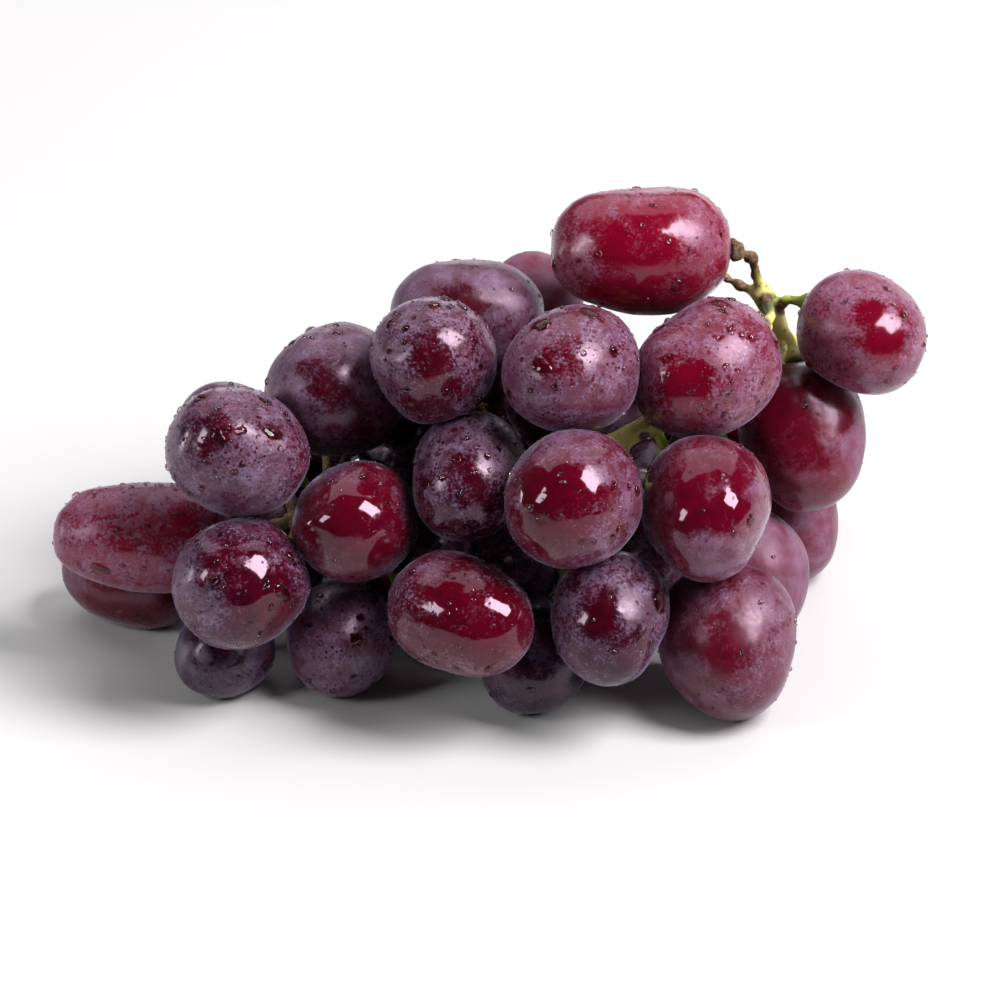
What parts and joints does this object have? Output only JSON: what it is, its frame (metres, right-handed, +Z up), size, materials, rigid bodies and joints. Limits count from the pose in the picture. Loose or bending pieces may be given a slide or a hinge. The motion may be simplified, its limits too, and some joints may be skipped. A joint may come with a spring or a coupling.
{
  "type": "bunch of grapes",
  "caption": "Bunch of large red table grapes with a bloom on their skins, on a branching green and brown stem, picked and lying on its side.",
  "frame": {"origin": "on the surface that the bunch lies on, under the middle of its bounding box", "axes": "+Z up; +X along the bunch from its tip to its shoulder, where the cut end of the main stem comes out at the back; +Y to the back of the bunch, away from its open front"},
  "size_m": [0.1756, 0.1082, 0.0891],
  "materials": {
    "skin_dark": "blue-black plum fruit skin with a dull waxy bloom, glossy where rubbed",
    "skin_wine": "dark wine-red fruit skin with lilac-grey waxy bloom, glossy where rubbed",
    "skin_red": "bright red fruit skin with pinkish waxy bloom, glossy where rubbed",
    "stem": "fresh green stalk turning brown and woody at its joints and old ends",
    "water": "clear water drops on the skins"
  },
  "bodies": {
    "root": {"stem": "stem", "grape_01": "skin_red", "grape_02": "skin_red", "grape_03": "skin_red", "grape_04": "skin_wine", "grape_05": "skin_wine", "grape_06": "skin_red", "grape_07": "skin_wine", "grape_08": "skin_wine", "grape_09": "skin_dark", "grape_10": "skin_dark", "grape_11": "skin_dark", "grape_12": "skin_dark", "grape_13": "skin_wine", "grape_14": "skin_wine", "grape_15": "skin_wine", "grape_16": "skin_red", "grape_17": "skin_red", "grape_18": "skin_red", "grape_19": "skin_red", "grape_20": "skin_red", "grape_21": "skin_wine", "grape_22": "skin_wine", "grape_23": "skin_wine", "grape_24": "skin_dark", "grape_25": "skin_dark", "grape_26": "skin_wine", "grape_27": "skin_dark", "grape_28": "skin_dark", "grape_29": "skin_dark", "grape_30": "skin_dark", "grape_31": "skin_dark", "grape_32": "skin_wine", "grape_33": "skin_red", "grape_34": "skin_dark", "grape_35": "skin_wine", "grape_36": "skin_wine", "grape_37": "skin_red", "grape_38": "skin_wine", "grape_39": "skin_wine", "grape_40": "skin_dark", "grape_41": "skin_dark", "grape_42": "skin_red"}
  },
  "joints": []
}
